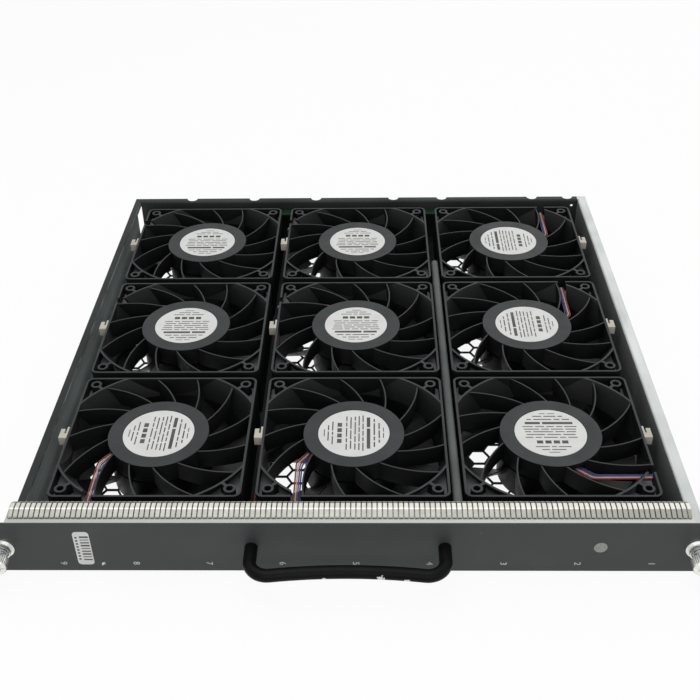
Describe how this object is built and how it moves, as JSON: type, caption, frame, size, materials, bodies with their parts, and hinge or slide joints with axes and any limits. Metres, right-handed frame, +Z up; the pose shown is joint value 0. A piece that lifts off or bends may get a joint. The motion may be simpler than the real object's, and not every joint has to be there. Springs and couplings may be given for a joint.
{
  "type": "chassis fan tray",
  "caption": "Slide-in chassis fan tray: honeycomb floor with a grid of axial fans, finger-sealed front panel, pull handle and captive screws.",
  "frame": {"origin": "centre of the bounding box on the plane of the floor's underside", "axes": "+X to the right seen from the front panel, +Y from the front panel to the rear connector, +Z up from the honeycomb floor to the fans' guide-vane side"},
  "size_m": [0.438, 0.449, 0.0441],
  "materials": {
    "fan_plastic": "moulded, fine matte",
    "impeller_plastic": "moulded, satin",
    "yoke_steel": "turned",
    "stator_iron": "laminated and wound",
    "board_green": "solder mask",
    "bearing_steel": "ground",
    "label_white": "paper film",
    "screw_zinc": "zinc plated",
    "lead_red": "wire sleeve",
    "lead_blue": "wire sleeve",
    "lead_white": "wire sleeve",
    "lead_violet": "wire sleeve",
    "nylon_white": "moulded nylon",
    "rivet_metal": "formed",
    "tray_steel": "rolled, zinc plated",
    "panel_paint": "fine texture paint, bare return",
    "seal_metal": "tin plated spring strip",
    "handle_black": "satin powder coat",
    "nickel": "nickel plated",
    "lens_clear": "diffusing",
    "connector_black": "glass-filled"
  },
  "bodies": {
    "tray": {"fan_1_frame": "fan_plastic", "fan_2_frame": "fan_plastic", "fan_3_frame": "fan_plastic", "fan_4_frame": "fan_plastic", "fan_5_frame": "fan_plastic", "fan_6_frame": "fan_plastic", "fan_7_frame": "fan_plastic", "fan_8_frame": "fan_plastic", "fan_9_frame": "fan_plastic", "motor_stators": "stator_iron", "drive_boards": "board_green", "shaft_bearings": "bearing_steel", "hub_labels": "label_white", "fan_screws": "screw_zinc", "leads_red": "lead_red", "leads_blue": "lead_blue", "leads_white": "lead_white", "leads_violet": "lead_violet", "lead_connectors": "nylon_white", "floor_rivets": "rivet_metal", "tray_floor": "tray_steel", "left_rail": "tray_steel", "right_rail": "tray_steel", "rear_wall": "tray_steel", "centre_stiffener": "tray_steel", "front_panel": "panel_paint", "finger_seal": "seal_metal", "pull_handle": "handle_black", "handle_screws": "screw_zinc", "left_screw_spring": "screw_zinc", "right_screw_spring": "screw_zinc", "screw_sleeves": "nickel", "status_lens": "lens_clear", "rear_connector": "connector_black", "control_board": "board_green"},
    "rotor_1": {"fan_1_impeller": "impeller_plastic", "fan_1_yoke": "yoke_steel"},
    "rotor_2": {"fan_2_impeller": "impeller_plastic", "fan_2_yoke": "yoke_steel"},
    "rotor_3": {"fan_3_impeller": "impeller_plastic", "fan_3_yoke": "yoke_steel"},
    "rotor_4": {"fan_4_impeller": "impeller_plastic", "fan_4_yoke": "yoke_steel"},
    "rotor_5": {"fan_5_impeller": "impeller_plastic", "fan_5_yoke": "yoke_steel"},
    "rotor_6": {"fan_6_impeller": "impeller_plastic", "fan_6_yoke": "yoke_steel"},
    "rotor_7": {"fan_7_impeller": "impeller_plastic", "fan_7_yoke": "yoke_steel"},
    "rotor_8": {"fan_8_impeller": "impeller_plastic", "fan_8_yoke": "yoke_steel"},
    "rotor_9": {"fan_9_impeller": "impeller_plastic", "fan_9_yoke": "yoke_steel"},
    "left_ring": {"left_retaining_ring": "screw_zinc"},
    "left_screw": {"left_captive_screw": "nickel"},
    "right_ring": {"right_retaining_ring": "screw_zinc"},
    "right_screw": {"right_captive_screw": "nickel"}
  },
  "joints": [
    {"name": "fan_1_spin", "type": "hinge", "parent": "tray", "child": "rotor_1", "pos_m": [-0.1258, -0.113, 0.02], "axis": [0, 0, 1], "continuous": true},
    {"name": "fan_2_spin", "type": "hinge", "parent": "tray", "child": "rotor_2", "pos_m": [0.0028, -0.113, 0.02], "axis": [0, 0, 1], "continuous": true},
    {"name": "fan_3_spin", "type": "hinge", "parent": "tray", "child": "rotor_3", "pos_m": [0.1314, -0.113, 0.02], "axis": [0, 0, 1], "continuous": true},
    {"name": "fan_4_spin", "type": "hinge", "parent": "tray", "child": "rotor_4", "pos_m": [-0.1258, 0.013, 0.02], "axis": [0, 0, 1], "continuous": true},
    {"name": "fan_5_spin", "type": "hinge", "parent": "tray", "child": "rotor_5", "pos_m": [0.0028, 0.013, 0.02], "axis": [0, 0, 1], "continuous": true},
    {"name": "fan_6_spin", "type": "hinge", "parent": "tray", "child": "rotor_6", "pos_m": [0.1314, 0.013, 0.02], "axis": [0, 0, 1], "continuous": true},
    {"name": "fan_7_spin", "type": "hinge", "parent": "tray", "child": "rotor_7", "pos_m": [-0.1258, 0.139, 0.02], "axis": [0, 0, 1], "continuous": true},
    {"name": "fan_8_spin", "type": "hinge", "parent": "tray", "child": "rotor_8", "pos_m": [0.0028, 0.139, 0.02], "axis": [0, 0, 1], "continuous": true},
    {"name": "fan_9_spin", "type": "hinge", "parent": "tray", "child": "rotor_9", "pos_m": [0.1314, 0.139, 0.02], "axis": [0, 0, 1], "continuous": true},
    {"name": "left_screw_press", "type": "slide", "parent": "tray", "child": "left_ring", "axis": [0, 1, 0], "range_m": [0, 0.004], "stiffness_N_per_m": 150, "deforming": ["left_screw_spring"]},
    {"name": "left_screw_turn", "type": "hinge", "parent": "left_ring", "child": "left_screw", "pos_m": [-0.208, -0.198, 0.0216], "axis": [0, 1, 0], "continuous": true},
    {"name": "right_screw_press", "type": "slide", "parent": "tray", "child": "right_ring", "axis": [0, 1, 0], "range_m": [0, 0.004], "stiffness_N_per_m": 150, "deforming": ["right_screw_spring"]},
    {"name": "right_screw_turn", "type": "hinge", "parent": "right_ring", "child": "right_screw", "pos_m": [0.208, -0.198, 0.0216], "axis": [0, 1, 0], "continuous": true}
  ]
}
